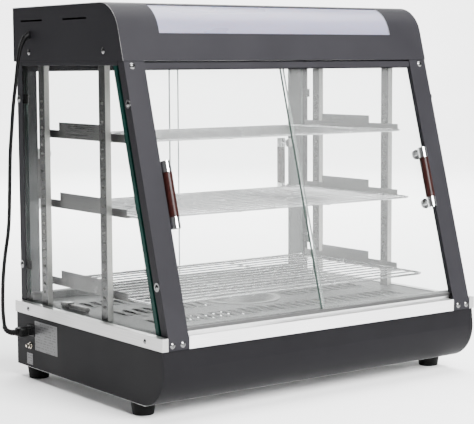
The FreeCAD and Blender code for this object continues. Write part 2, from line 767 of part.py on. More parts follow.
def make_brackets():
    """A pair of angle brackets for each rack, with a hook in a slot of each upright."""
    pieces = []
    for level in ("level_upper", "level_middle", "level_lower"):
        bracket = body("bracket")
        low, high = level + " + bracket_low", level + " + bracket_high"
        pad(bracket, "YZ", "bracket_x", "bracket_x + skin", [
            ("bracket_front", level), ("bracket_back", level), ("bracket_back", low), ("step_back", low),
            ("step_back", high), ("step_front", high), ("step_front", low), ("bracket_front", low),
        ])
        ledge = rectangle("bracket_x - bracket_flange", "bracket_x + skin", "bracket_front", "bracket_back")
        pad(bracket, "XY", level, level + " + skin", ledge)
        for middle in ("upright_front", "upright_back"):
            hook = rectangle(
                middle + " - slot_deep / 2 + 0.5", middle + " + slot_deep / 2 - 0.5", level + " + 1", level + " + 4"
            )
            pad(bracket, "YZ", "bracket_x", "upright_x + upright_wall + 1.5", hook)
        pieces += [bracket, mirror("bracket", bracket)]
    group("shelf_brackets", pieces)


def make_rack(name, level, front):
    """A wire rack: a round-cornered rim, cross wires along X and two wires along Y under them."""
    half, back, rim = size("rack_half"), size("rack_back"), size("rack_rim")
    wire, bend, y_front = size("rack_wire"), size("rack_bend"), size(front)
    height = size(level) + size("skin") + rim + 0.1
    middle = (back + y_front) / 2
    corners = [
        VECTOR(-half, middle, height), VECTOR(-half, y_front, height), VECTOR(half, y_front, height),
        VECTOR(half, back, height), VECTOR(-half, back, height), VECTOR(-half, middle, height),
    ]
    frame, _ = tube(name + "_rim", corners, rim, [bend] * 4)
    top = height + rim - wire
    wires = []
    count = int((back - y_front - 2 * rim) / size("rack_pitch"))
    pitch = (back - y_front) / (count + 1)
    for number in range(1, count + 1):
        y = y_front + number * pitch
        wires.append(Part.makeCylinder(wire, 2 * half, VECTOR(-half, y, top), VECTOR(1, 0, 0)))
    for x in (-half / 3, half / 3):
        under = VECTOR(x, y_front, top - 1.8 * wire)
        wires.append(Part.makeCylinder(wire, back - y_front, under, VECTOR(0, 1, 0)))
    rack = doc.addObject("Part::Feature", "Rack")
    rack.Shape = frame.Shape.fuse(wires)
    rack.Label = name


# ---------------------------------------------------------------- canopy

def canopy_profile(inset):
    """The side view of the canopy with a sharp nose, inside its outer face by an inset."""
    top = "case_top - %s" % inset
    lean_y = "-canopy_front + slope * (%s - canopy_low) + (%s) / cos(lean)"
    return [
        (lean_y % ("canopy_low", inset), "canopy_low"), (lean_y % (top, inset), top),
        ("back_canopy - %s" % inset, top), ("back_canopy - %s" % inset, "canopy_low"),
    ]


def nose_corner(inset):
    """Where the sharp nose of the canopy profile is, as two numbers."""
    z = size("case_top") - inset
    lean = math.cos(math.radians(size("lean")))
    return -size("canopy_front") + size("slope") * (z - size("canopy_low")) + inset / lean, z


def make_canopy_cover():
    """The wrapped cover: leaning front, rounded nose, top and rear, with the window opening."""
    half = "half_canopy"
    shell = rounded_prism("canopy_shell", canopy_profile(0), half, "canopy_bend", nose_corner(0))
    inner_nose = nose_corner(size("skin"))
    inner = rounded_prism("canopy_hollow", canopy_profile("skin"), half, "canopy_bend - skin", inner_nose)
    edge = "nose_y - (canopy_bend + 3) * sin(window_angle)"
    top = "nose_z + canopy_bend * cos(window_angle)"
    window = block(("-window_half", "window_half"), ("-canopy_front - 5", edge), ("window_low", top))
    cut("canopy_cover", shell, [inner, window])


def make_canopy_ends():
    """End plates set in behind the edge of the cover, each with two narrow vent slots."""
    out = "half_canopy - end_recess"
    end = rounded_prism("canopy_end_right", canopy_profile("skin"), (out + " - skin", out),
                        "canopy_bend - skin", nose_corner(size("skin")))
    for low, high in ((136, 211.5), (-11, 66)):
        pocket(end, "YZ", out + " - skin", out, rectangle(low, high, 620.5, 623.5))
    mirrored = mirror("canopy_end_blank", end)
    hole = rod(5, 6, "X", "-half_canopy - 1", "gland_y", "gland_z")
    cut("canopy_end_left", mirrored, [hole])


def make_ceiling():
    """The plate that closes the chamber under the canopy."""
    low, high = "post_top", "post_top + skin"
    half = "half_canopy - end_recess - skin"
    front = "-canopy_front + 4"
    block(("-(%s)" % half, half), (front, "back_canopy - skin"), (low, high), "ceiling_plate")


def nose_band(outer, inner, half):
    """A stretch of the rounded nose between two radii, from the window's top angle to the lean."""
    drums = []
    for radius in (outer, inner):
        drum = doc.addObject("Part::Cylinder", "Drum")
        bind(drum, Radius=radius, Height="2 * (%s)" % half)
        drum.setExpression("Angle", cells("90 - lean - window_angle + 4"))
        tilt = FreeCAD.Rotation(VECTOR(1, 0, 0), 180 + size("window_angle") - 4)
        drum.Placement = FreeCAD.Placement(VECTOR(), tilt * FreeCAD.Rotation(VECTOR(0, 1, 0), 90))
        drums.append(place(drum, "-(%s)" % half, "nose_y", "nose_z"))
    return cut("nose", drums[0], [drums[1]])


def make_lamp_window():
    """The curved translucent window behind the opening of the cover."""
    half = "window_half + window_lap"
    outer, inner = "(canopy_bend - skin - 0.1)", "(canopy_bend - skin - 0.1 - window_thick)"
    band = nose_band(outer, inner, half)
    lower = body("window_lower")
    drop = "(nose_z + canopy_bend * sin(lean) - window_low + window_lap)"

    def point(radius, down):
        y = "nose_y - %s * cos(lean) - slope * %s" % (radius, down)
        z = "nose_z + %s * sin(lean) - %s" % (radius, down)
        return y, z
    corners = [point(outer, 0), point(outer, drop), point(inner, drop), point(inner, 0)]
    pad(lower, "YZ", "-(%s)" % half, half, corners)
    fuse("lamp_window", [band, lower])


def make_lamp():
    """The lamp tube behind the window, in two holders that stand on the ceiling plate."""
    half, length = "tube_half", "2 * tube_half"
    glass = rod("tube_radius", length, "X", "-" + half, "tube_y", "tube_z", "lamp_tube")
    holders = []
    for sign in ("-", ""):
        inner = "%stube_half" % sign
        span = (inner + " - 8", inner) if sign else (inner, inner + " + 8")
        holders.append(block(span, ("tube_y - 11", "tube_y + 11"), ("post_top + skin", "tube_z + 12")))
    group("lamp_holders", holders)
    return glass


# ---------------------------------------------------------------- heat and controls

def make_heating_element():
    """A tubular element bent into a long hairpin under the floor, with both ends at the rear."""
    z = 98
    points = [
        VECTOR(-60, 205, z), VECTOR(-60, 120, z), VECTOR(-230, 120, z), VECTOR(-230, -120, z),
        VECTOR(230, -120, z), VECTOR(230, 120, z), VECTOR(60, 120, z), VECTOR(60, 205, z),
    ]
    tube("heating_element", points, 4, [25] * 6)


def make_controls():
    """The rear fascia with the switch housings and the display behind it, and the thermostat."""
    back = "back_base"
    half = "fascia_half"
    plate_x = ("-fascia_x - %s" % half, "-fascia_x + %s" % half)
    plate = block(plate_x, (back, back + " + fascia_thick"), ("fascia_low", "fascia_high"))
    holes = [rod("spindle_radius + 1", 12, "Y", "-knob_x", "back_base - 4", "knob_z")]
    for place_x in ("-heat_x", "-light_x", "-display_x"):
        span = (place_x + " - 9.8", place_x + " + 9.8")
        holes.append(block(span, (back + " - 4", back + " + 8"), ("rocker_z - 12.8", "rocker_z + 12.8")))
    fascia = cut("fascia", plate, holes)
    housings = [switch_housing(place_x) for place_x in ("-heat_x", "-light_x")]
    display = block(
        ("-display_x - 9.8", "-display_x + 9.8"), ("back_base - 14", "back_base + fascia_thick + 1"),
        ("rocker_z - 12.8", "rocker_z + 12.8"),
    )
    group("control_fascia", [fascia, display] + housings)
    case = block(
        ("-knob_x - 18", "-knob_x + 18"), ("back_base - 34", "back_base - skin"), ("knob_z - 18", "knob_z + 18")
    )
    bore = rod("spindle_radius + 0.4", 30, "Y", "-knob_x", "back_base - 22", "knob_z")
    cut("thermostat_body", case, [bore])
    make_knob()


def switch_housing(x):
    """A rocker switch housing with a hollow for its rocker."""
    outer = block((x + " - 9.8", x + " + 9.8"), ("back_base - 22", "back_base + fascia_thick + 2"),
                  ("rocker_z - 12.8", "rocker_z + 12.8"))
    hollow = block((x + " - rocker_half_wide - 0.4", x + " + rocker_half_wide + 0.4"),
                   ("back_base - 10", "back_base + 10"), ("rocker_z - 11.4", "rocker_z + 11.4"))
    return cut("housing", outer, [hollow])


def make_rocker(label, x):
    """A rocker with two faces at an angle, stored with its upper end pressed in."""
    rocker = body(label)
    tall, wide = "rocker_half_tall", "rocker_half_wide"
    pad(rocker, "YZ", "-(%s)" % wide, wide, [
        (-5, "-%s + 2" % tall), (2.6, "-" + tall), (0.9, 0), (2.6, tall), (-5, "%s - 2" % tall),
    ])
    turn(rocker, (1, 0, 0), "rocker_tilt")
    place(rocker, x, "back_base + fascia_thick + 1", "rocker_z")


def make_knob():
    """The thermostat knob: a skirt, a fluted body with a pointer bar, and its spindle."""
    face = "back_base + fascia_thick + 0.3"
    skirt = rod("knob_radius", 3, "Y", "-knob_x", face, "knob_z")
    core = rod("knob_radius - 4", "knob_out - (%s)" % face, "Y", "-knob_x", face, "knob_z")
    grip = block(
        ("-knob_x - 2.5", "-knob_x + 2.5"), (face, "knob_out"),
        ("knob_z - knob_radius + 1", "knob_z + knob_radius - 1"),
    )
    spindle = rod("spindle_radius", 24, "Y", "-knob_x", "back_base - 20", "knob_z")
    fuse("thermostat_knob", [skirt, core, grip, spindle])


# ---------------------------------------------------------------- left side: inlet, earth, labels, lead

def make_inlet():
    """The inlet of the lamp lead: a flange on the side panel, a shroud and a body inside."""
    y, z = "inlet_y", "inlet_z"
    flange = block(("-half_base - 2", "-half_base"), (y + " - inlet_half_deep", y + " + inlet_half_deep"),
                   (z + " - inlet_half_tall", z + " + inlet_half_tall"))
    shroud = block(("-inlet_face", "-half_base + 25"), (y + " - 9", y + " + 9"), (z + " - 6.5", z + " + 6.5"))
    fuse("appliance_inlet", [flange, shroud])


def make_earth_terminal():
    """The earth stud: hexagon nut on a washer, and the rounded end of the stud."""
    y, z = "earth_y", "earth_z"
    nut = doc.addObject("Part::Prism", "Nut")
    bind(nut, Circumradius=5, Height=3)
    nut.Polygon = 6
    turn(nut, (0, 1, 0), 90)
    place(nut, "-half_base - 4", y, z)
    washer = rod(6, 1, "X", "-half_base - 1", y, z)
    stud = rod(2.5, "earth_out - half_base + 10", "X", "-earth_out", y, z)
    fuse("earth_terminal", [nut, washer, stud])


def make_labels():
    """Two thin plates on the left side panel."""
    rating = block(("-half_base - 0.3", "-half_base"), (85, 163.5), (54.8, 106))
    small = block(("-half_base - 0.3", "-half_base"), (173, 193.5), (26.5, 46))
    group("labels", [rating, small])


def make_left_side(right_side):
    """The left side panel: the mirror of the right one, with openings for the inlet and the earth stud."""
    blank = mirror("side_blank", right_side)
    inlet = block(
        ("-half_base - 3", "-half_base + 5"), ("inlet_y - 9", "inlet_y + 9"), ("inlet_z - 6.5", "inlet_z + 6.5")
    )
    earth = rod(2.5, 10, "X", "-half_base - 3", "earth_y", "earth_z")
    cut("base_side_left", blank, [inlet, earth])


def make_glands():
    """The ring and nozzle of the lamp lead on the canopy, and the mains gland in the rear panel."""
    ring = rod(7, 3, "X", "-half_canopy + end_recess - 3", "gland_y", "gland_z")
    neck = rod(5, 6, "X", "-half_canopy + end_recess - 0.5", "gland_y", "gland_z")
    nozzle = doc.addObject("Part::Cone", "Nozzle")
    bind(nozzle, Radius1=5, Radius2=4, Height=7)
    nozzle.Placement = FreeCAD.Placement(VECTOR(), FreeCAD.Rotation(VECTOR(0, 1, 0), 230))
    place(nozzle, "-half_canopy + end_recess - 2.5", "gland_y", "gland_z")
    lead_gland = fuse("lead_gland", [ring, neck, nozzle])
    flange = rod("mains_radius + 3", 3, "Y", "-mains_x", "back_base", "mains_z")
    sleeve = rod("mains_radius", 16, "Y", "-mains_x", "back_base - 4", "mains_z")
    mains_gland = fuse("mains_gland", [flange, sleeve])
    group("cord_glands", [lead_gland, mains_gland])


# Route of the lamp lead, from the nozzle on the canopy down to the boot of its plug.
LEAD_ROUTE = [
    (-325.6, 182, 594.8), (-334, 182, 583), (-341, 181.5, 554.6), (-346, 181, 516), (-352.6, 180, 478),
    (-356.2, 179.5, 439), (-360.4, 179, 401), (-363, 178, 349), (-364.9, 178, 297), (-367.5, 178, 262),
    (-374.4, 177.5, 228), (-379.5, 177, 192), (-382, 176.5, 154), (-382.4, 176.2, 121), (-380, 176, 101),
]

# Middle line of the plug's boot, from the body of the plug up to the lead.
BOOT_ROUTE = [(-356, 176, 87), (-378.2, 176, 87), (-380, 176, 101)]


def make_lead():
    """The lamp lead, with its real length, and the plug with its grip ring and curved boot."""
    route = [VECTOR(*point) for point in LEAD_ROUTE]
    bends = free_bends(route)
    radius = size("lead_radius")
    lead, length = tube("lamp_lead", route, radius, bends)
    print("lead length %.1f, radii %s" % (length, " ".join("%.0f" % bend for bend in bends)))
    print("volume %.0f against %.0f" % (lead.Shape.Volume, math.pi * radius ** 2 * length))
    y, z, tip = "inlet_y", "inlet_z", "plug_end"
    core = block(("-" + tip, "-inlet_face"), (y + " - plug_half_deep", y + " + plug_half_deep"),
                 (z + " - plug_half_tall", z + " + plug_half_tall"))
    ring = block(
        ("-" + tip + " + 4", "-" + tip + " + 9"),
        (y + " - plug_half_deep - 1.2", y + " + plug_half_deep + 1.2"),
        (z + " - plug_half_tall - 1.2", z + " + plug_half_tall + 1.2"),
    )
    boot, _ = tube("boot", [VECTOR(*point) for point in BOOT_ROUTE], 5, [11])
    fuse("lead_plug", [core, ring, boot])


# ---------------------------------------------------------------- fasteners

def dome(radius, height, lift):
    """A pan head: the cap of a sphere, with its flat base at a height and its crown up."""
    ball = (radius ** 2 + height ** 2) / (2 * height)
    cap = doc.addObject("Part::Sphere", "Dome")
    cap.Radius = ball
    cap.Angle1 = math.degrees(math.asin((ball - height) / ball))
    cap.Angle2 = 90
    cap.Placement = FreeCAD.Placement(VECTOR(0, 0, height - ball + lift), FreeCAD.Rotation())
    return cap


def screw(spot, outward, head=4.0, height=1.9, washer=0.0, shank=5.0):
    """A cross-recess pan screw: head, recess, short shank and, where wanted, a washer."""
    lift = 0.8 if washer else 0.0
    cap = dome(head, height, lift)
    cross = [
        block((-head * 0.5, head * 0.5), (-0.5, 0.5), (lift + height * 0.45, lift + height + 1)),
        block((-0.5, 0.5), (-head * 0.5, head * 0.5), (lift + height * 0.45, lift + height + 1)),
    ]
    pieces = [cut("head", cap, cross), rod(1.8, shank + lift, "Z", 0, 0, -shank)]
    if washer:
        pieces.append(rod(washer, lift, "Z", 0, 0, 0))
    result = fuse("screw", pieces)
    result.Placement = FreeCAD.Placement(VECTOR(*spot), FreeCAD.Rotation(VECTOR(0, 0, 1), VECTOR(*outward)))
    return result


def make_case_screws():
    """Every plain screw of the case, in one node."""
    trim, end = size("half_trim"), size("half_canopy") - size("end_recess")
    front, back, base = size("front_face"), size("back_post"), size("half_base")
    lean = math.radians(size("lean"))
    ahead = (0, -math.cos(lean), math.sin(lean))
    top_y = -size("plane_front") + size("slope") * (545 - size("floor_top"))
    screws = []
    for sign in (-1, 1):
        side = (sign, 0, 0)
        screws += [screw((sign * trim, y, 124.3), side) for y in (183, -193)]
        screws += [screw((sign * end, y, 569), side, head=5.2) for y in (184, -62)]
        screws += [screw((sign * x, -front, 122.5), (0, -1, 0), head=4.9) for x in (292, 311)]
        screws.append(screw((sign * 304, top_y, 545), ahead, head=5.2))
        screws += [screw((sign * 299, back, z), (0, 1, 0), shank=4) for z in (528, 150)]
        screws.append(screw((sign * (base - 20), size("back_base"), 104), (0, 1, 0)))
    group("case_screws", screws)


def make_glass_clips():
    """Screws with washers in the flanges of the posts, each with the clip that holds the glass inside."""
    pieces = []
    inner = size("glass_outer") - size("glass_thick")
    for sign in (-1, 1):
        for y, z, reach in ((-135.6, 486, 26), (-211.5, 209, 26), (222, 488, -24), (222, 198, -24)):
            head = screw((sign * size("half_post"), y, z), (sign, 0, 0), head=4.6, height=2.3, washer=7)
            span = sorted((sign * inner, sign * (size("half_post") - size("skin"))))
            plate = sorted((sign * inner, sign * (inner - 1.5)))
            post = sorted((y - 4 * reach / abs(reach), y + 4 * reach / abs(reach)))
            leaf = sorted((y - 4 * reach / abs(reach), y + reach))
            spacer = block(span, post, (z - 5, z + 5))
            strap = block(plate, leaf, (z - 8, z + 8))
            pieces += [fuse("clip", [spacer, strap, head])]
    group("glass_clips", pieces)


# ---------------------------------------------------------------- the whole case

NODES = [
    "base_pan", "base_front_panel", "base_side_left", "base_side_right", "base_rear_panel", "feet",
    "trim_surround", "trim_front", "floor_plate", "water_pan", "thermostat_bulb", "front_track", "rear_track",
    "front_header", "rear_header", "side_headers", "front_post_left", "front_post_right", "rear_post_left",
    "rear_post_right", "side_glass_left", "side_glass_right", "shelf_uprights", "shelf_brackets",
    "rack_upper", "rack_middle", "rack_lower", "canopy_cover", "canopy_end_left", "canopy_end_right",
    "ceiling_plate", "lamp_window", "lamp_tube", "lamp_holders", "heating_element", "control_fascia",
    "thermostat_body", "thermostat_knob", "heat_switch_rocker", "light_switch_rocker", "appliance_inlet",
    "earth_terminal", "labels", "cord_glands", "lamp_lead", "lead_plug", "case_screws", "glass_clips",
] + [
    "%s_%s_%s" % (face, side, piece)
    for face in ("front", "rear") for side in ("left", "right")
    for piece in ("door_glass", "handle_grip", "handle_ends")
]


def build():
    """Makes every piece of the case."""
    fill_sheet()
    right_side = make_base_side()
    make_left_side(right_side)
    make_front_panel()
    make_rear_panel()
    make_base_pan()
    make_feet()
    make_trim()
    make_trim_front()
    make_floor()
    make_water_pan()
    make_bulb()
    make_front_track()
    make_rear_track()
    make_front_header()
    make_rear_header()
    make_side_headers()
    make_front_post()
    make_rear_post()
    make_side_glass()
    make_front_door("left", "-door_edge + door_shift", "-front_bar_x", "inner_pane")
    make_front_door("right", "door_edge - door_wide", "front_bar_x", "outer_pane")
    make_rear_door("left", "-rear_edge", "-rear_bar_x", "rear_outer")
    make_rear_door("right", "-rear_overlap", "rear_bar_x", "rear_inner")
    make_uprights()
    make_brackets()
    for name in ("upper", "middle", "lower"):
        make_rack("rack_" + name, "level_" + name, "rack_front_" + name)
    make_canopy_cover()
    make_canopy_ends()
    make_ceiling()
    make_lamp_window()
    make_lamp()
    make_heating_element()
    make_controls()
    make_rocker("heat_switch_rocker", "-heat_x")
    make_rocker("light_switch_rocker", "-light_x")
    make_inlet()
    make_earth_terminal()
    make_labels()
    make_glands()
    make_lead()
    make_case_screws()
    make_glass_clips()
    doc.recompute()


def check_and_write():
    """Stops on any failed object, then writes one STEP file for each node."""
    for thing in doc.Objects:
        if "Invalid" in thing.State or "Error" in thing.State:
            raise RuntimeError("%s (%s) failed: %s" % (thing.Label, thing.Name, thing.State))
    os.makedirs("parts", exist_ok=True)
    for node in NODES:
        found = [thing for thing in doc.Objects if thing.Label == node]
        if len(found) != 1:
            raise RuntimeError("%s: %d objects" % (node, len(found)))
        shape = found[0].Shape
        if shape.isNull() or not shape.isValid():
            raise RuntimeError("%s has no valid shape" % node)
        shape.exportStep("parts/%s.step" % node)
        box = shape.BoundBox
        print("%-26s %2d solids  x %8.2f %8.2f  y %8.2f %8.2f  z %7.2f %7.2f" % (
            node, len(shape.Solids), box.XMin, box.XMax, box.YMin, box.YMax, box.ZMin, box.ZMax))
    print("nodes", len(NODES))


build()
check_and_write()
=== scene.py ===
"""The looks of the hot food display case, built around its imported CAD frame."""

import math

import bmesh
import bpy
from mathutils import Matrix, Vector


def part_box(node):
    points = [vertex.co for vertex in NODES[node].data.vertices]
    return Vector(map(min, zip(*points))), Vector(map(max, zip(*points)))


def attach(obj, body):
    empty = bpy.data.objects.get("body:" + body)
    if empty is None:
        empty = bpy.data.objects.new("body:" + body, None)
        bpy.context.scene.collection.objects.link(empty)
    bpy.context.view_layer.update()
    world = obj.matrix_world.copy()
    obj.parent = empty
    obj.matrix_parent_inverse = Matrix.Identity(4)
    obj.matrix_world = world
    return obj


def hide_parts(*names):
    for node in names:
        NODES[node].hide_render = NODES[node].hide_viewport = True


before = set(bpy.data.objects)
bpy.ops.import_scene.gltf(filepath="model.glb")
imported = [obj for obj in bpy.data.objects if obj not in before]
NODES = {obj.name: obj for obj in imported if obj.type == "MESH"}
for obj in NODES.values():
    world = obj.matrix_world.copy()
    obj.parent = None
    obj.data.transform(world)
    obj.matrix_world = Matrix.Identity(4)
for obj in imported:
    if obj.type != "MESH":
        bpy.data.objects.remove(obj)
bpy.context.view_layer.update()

MM = 0.001
VIEW_YAW = math.radians(36.18)


# ---------------------------------------------------------------- camera, light and stage

def make_camera():
    """The camera off the case's left front corner, level with its canopy and tilted down a little."""
    camera = bpy.data.objects.new("camera", bpy.data.cameras.new("camera"))
    bpy.context.scene.collection.objects.link(camera)
    pitch, roll = math.radians(-5.89), math.radians(-0.31)
    level = Vector((math.cos(VIEW_YAW), -math.sin(VIEW_YAW), 0))
    ahead = Vector((math.sin(VIEW_YAW), math.cos(VIEW_YAW), 0))
    forward = ahead * math.cos(pitch) + Vector((0, 0, math.sin(pitch)))
    upright = level.cross(forward)
    right = level * math.cos(roll) + upright * math.sin(roll)
    up = upright * math.cos(roll) - level * math.sin(roll)
    turned = Matrix((right, up, -forward)).transposed().to_4x4()
    camera.matrix_world = Matrix.Translation((-1.5195, -2.0611, 0.5513)) @ turned
    camera.data.sensor_width = 36
    camera.data.lens = 110.94
    camera.data.clip_end = 60
    bpy.context.scene.camera = camera


def make_area(name, place, target, size, energy):
    """A soft rectangular studio light that faces a point."""
    lamp = bpy.data.lights.new(name, "AREA")
    lamp.shape = "RECTANGLE"
    lamp.size, lamp.size_y = size
    lamp.energy = energy
    light = bpy.data.objects.new(name, lamp)
    bpy.context.scene.collection.objects.link(light)
    heading = (Vector(target) - Vector(place)).to_track_quat("-Z", "Y")
    light.matrix_world = Matrix.Translation(place) @ heading.to_matrix().to_4x4()


def make_lights():
    """A white studio: a large key in front, a top light, a weak light behind and one for the backdrop."""
    make_area("key", (0.2, -3.9, 2.9), (0.0, 0, 0.25), (2.6, 2.4), 900)
    make_area("top", (0.8, 0.2, 3.6), (0.2, 0, 0), (3.4, 3.4), 400)
    make_area("back", (1.2, 3.8, 2.2), (0, 0, 0.4), (3.4, 2.4), 120)
    make_area("backdrop", (1.6, 2.2, 3.6), (4.1, 5.6, 1.0), (3.0, 2.0), 800)
    world = bpy.data.worlds.new("studio")
    bpy.context.scene.world = world
    world.use_nodes = True
    background = world.node_tree.nodes["Background"]
    background.inputs["Color"].default_value = (1, 1, 1, 1)
    background.inputs["Strength"].default_value = 0.2


def make_stage():
    """A plain pale floor that rises in a curve into a backdrop behind the case, square to the view."""
    near, far, half_wide, curve, high, steps = -21.0, 7.0, 20.0, 2.0, 4.5, 12
    line = [(near, 0.0)]
    for step in range(steps + 1):
        turn = math.pi / 2 * step / steps
        line.append((far - curve + curve * math.sin(turn), curve - curve * math.cos(turn)))
    line.append((far, high))
    ahead = Vector((math.sin(VIEW_YAW), math.cos(VIEW_YAW), 0))
    across = Vector((math.cos(VIEW_YAW), -math.sin(VIEW_YAW), 0))
    mesh = bmesh.new()
    rows = []
    for along, height in line:
        middle = ahead * along + Vector((0, 0, height))
        rows.append([mesh.verts.new(middle + across * side) for side in (-half_wide, half_wide)])
    for low, top in zip(rows, rows[1:]):
        mesh.faces.new((low[0], low[1], top[1], top[0]))
    stage = new_object("studio_floor", mesh)
    for face in stage.data.polygons:
        face.use_smooth = True
    stage.data.materials.append(paper())


# ---------------------------------------------------------------- meshes

def new_object(name, mesh):
    """An object from a bmesh."""
    data = bpy.data.meshes.new(name)
    mesh.to_mesh(data)
    mesh.free()
    made = bpy.data.objects.new(name, data)
    bpy.context.scene.collection.objects.link(made)
    return made


def soften(name, width):
    """Gives a CAD sheet or block small rounded edges that catch the light; the width is in millimetres."""
    node = NODES[name]
    weld = node.modifiers.new("weld", "WELD")
    weld.merge_threshold = 0.00002
    flat = node.modifiers.new("flat", "DECIMATE")
    flat.decimate_type = "DISSOLVE"
    flat.angle_limit = math.radians(0.5)
    bevel = node.modifiers.new("bevel", "BEVEL")
    bevel.width = width * MM
    bevel.segments = 2
    bevel.limit_method = "ANGLE"
    bevel.angle_limit = math.radians(35)
    bevel.harden_normals = False
    shade = node.modifiers.new("shade", "WEIGHTED_NORMAL")
    shade.keep_sharp = False
    for face in node.data.polygons:
        face.use_smooth = True


# ---------------------------------------------------------------- materials

class Shader:
    """A short way to write a node material round one Principled shader."""

    def __init__(self, name):
        self.material = bpy.data.materials.new(name)
        self.material.use_nodes = True
        self.tree = self.material.node_tree
        self.main = self.tree.nodes["Principled BSDF"]
        self.out = self.tree.nodes["Material Output"]

    def node(self, kind, inputs=None, **settings):
        """Adds a node; inputs are values or sockets by name or number."""
        made = self.tree.nodes.new("ShaderNode" + kind)
        for key, value in settings.items():
            setattr(made, key, value)
        for key, value in (inputs or {}).items():
            self.feed(made.inputs[key], value)
        return made

    def feed(self, socket, value):
        """Sets an input to a value, or links it to an output."""
        if isinstance(value, bpy.types.NodeSocket):
            self.tree.links.new(value, socket)
        else:
            socket.default_value = value

    def set(self, **values):
        """Sets or links inputs of the Principled shader, with _ for a space in their names."""
        for key, value in values.items():
            self.feed(self.main.inputs[key.replace("_", " ")], value)
        return self

    def spot(self):
        """The place on the object, in metres."""
        return self.node("TexCoord").outputs["Object"]

    def place(self, scale=(1, 1, 1)):
        """The place on the object in metres, scaled."""
        return self.node("Mapping", {"Vector": self.spot(), "Scale": scale}).outputs[0]

    def noise(self, vector, scale, detail=3.0, rough=0.55):
        """A noise value between 0 and 1."""
        made = self.node("TexNoise", {"Vector": vector, "Scale": scale, "Detail": detail, "Roughness": rough})
        return made.outputs["Fac"]

    def ramp(self, value, stops):
        """A colour ramp; stops are (position, colour)."""
        made = self.node("ValToRGB", {"Fac": value})
        elements = made.color_ramp.elements
        while len(elements) < len(stops):
            elements.new(0.5)
        for element, (position, color) in zip(elements, stops):
            element.position = position
            element.color = color if len(color) == 4 else (*color, 1)
        return made.outputs["Color"]

    def span(self, value, low, high, start=0.0, end=1.0):
        """Maps a value from one range to another."""
        return self.node("MapRange", {
            "Value": value, "From Min": start, "From Max": end, "To Min": low, "To Max": high,
        }).outputs[0]

    def math(self, operation, a, b=0.0):
        """One arithmetic step."""
        return self.node("Math", {0: a, 1: b}, operation=operation).outputs[0]

    def mix(self, share, a, b):
        """Blends two colours."""
        made = self.node("Mix", data_type="RGBA")
        self.feed(made.inputs["Factor"], share)
        self.feed(made.inputs["A"], a)
        self.feed(made.inputs["B"], b)
        return made.outputs["Result"]

    def dot(self, vector, direction):
        """The part of a vector that lies along a direction."""
        return self.node("VectorMath", {0: vector, 1: direction}, operation="DOT_PRODUCT").outputs["Value"]

    def facing(self, direction):
        """How squarely the surface looks along a direction, either way: 0 to 1."""
        normal = self.node("NewGeometry").outputs["True Normal"]
        return self.math("ABSOLUTE", self.dot(normal, direction))

    def bump(self, height, strength, distance):
        """Feeds the shader's normal with a height."""
        made = self.node("Bump", {"Height": height, "Strength": strength, "Distance": distance})
        self.feed(self.main.inputs["Normal"], made.outputs[0])


def grey(value, tint=(1, 1, 1)):
    """A neutral colour with a slight tint."""
    return (value * tint[0], value * tint[1], value * tint[2], 1)


def paper():
    """The studio floor: matt white with the faintest mottling."""
    s = Shader("studio_paper")
    tone = s.ramp(s.noise(s.place(), 3.0), [(0.3, grey(0.90)), (0.7, grey(0.93))])
    s.set(Base_Color=tone, Roughness=0.9, Specular_IOR_Level=0.1)
    return s.material


def powder_coat(name="case_paint_look", low=0.0125, high=0.0160, bare=None):
    """Charcoal powder coat: fine orange peel, faint dust and a satin sheen.

    The cut edges that look along the bare direction are lightened to a grey of 0.42, broken up by noise: a
    painted highlight along those edges.
    """
    s = Shader(name)
    where = s.place()
    cloud = s.noise(where, 9.0, 4.0)
    grain = s.noise(where, 2600.0, 2.0)
    tone = s.mix(s.span(cloud, 0.0, 1.0, 0.3, 0.7), grey(low, (1, 0.97, 1.14)), grey(high, (1, 0.97, 1.12)))
    # Painted highlight: the faces along the bare axis, which are the cut edges, are lightened towards grey in
    # noisy patches.
    if bare is not None:
        edge = s.span(s.facing(bare), 0.0, 1.0, 0.8, 0.95)
        wear_and_painted_highlight = s.math("MULTIPLY", edge, s.span(s.noise(where, 50.0), 0.6, 1.0, 0.4, 0.5))
        tone = s.mix(wear_and_painted_highlight, tone, grey(0.42))
    speck = s.span(grain, 0.92, 1.08)
    tone = s.node("VectorMath", {0: tone, "Scale": speck}, operation="SCALE").outputs[0]
    s.set(Base_Color=tone, Roughness=s.span(cloud, 0.46, 0.56, 0.3, 0.7), Specular_IOR_Level=0.06)
    s.bump(grain, 0.12, 0.0002)
    return s.material


def brushed(name, low, high, rough, along, tint=(1, 1, 1), metallic=1.0, glare=1.0):
    """Brushed metal: fine streaks along one axis, with soft cloudy wear.

    Glare is how much of the full mirror sheen it keeps at a grazing angle.
    """
    s = Shader(name)
    scale = [900.0, 900.0, 900.0]
    scale[along] = 9.0
    streak = s.noise(s.place(tuple(scale)), 1.0, 4.0, 0.6)
    cloud = s.noise(s.place(), 7.0, 3.0)
    tone = s.mix(s.span(streak, 0.0, 1.0, 0.25, 0.75), grey(low, tint), grey(high, tint))
    wear = s.span(cloud, rough - 0.05, rough + 0.06, 0.3, 0.7)
    s.set(
        Base_Color=tone, Metallic=metallic, Roughness=s.math("ADD", s.span(streak, -0.06, 0.06), wear),
        Specular_IOR_Level=0.5 * glare, Specular_Tint=grey(glare),
    )
    s.bump(streak, 0.12, 0.0001)
    return s.material


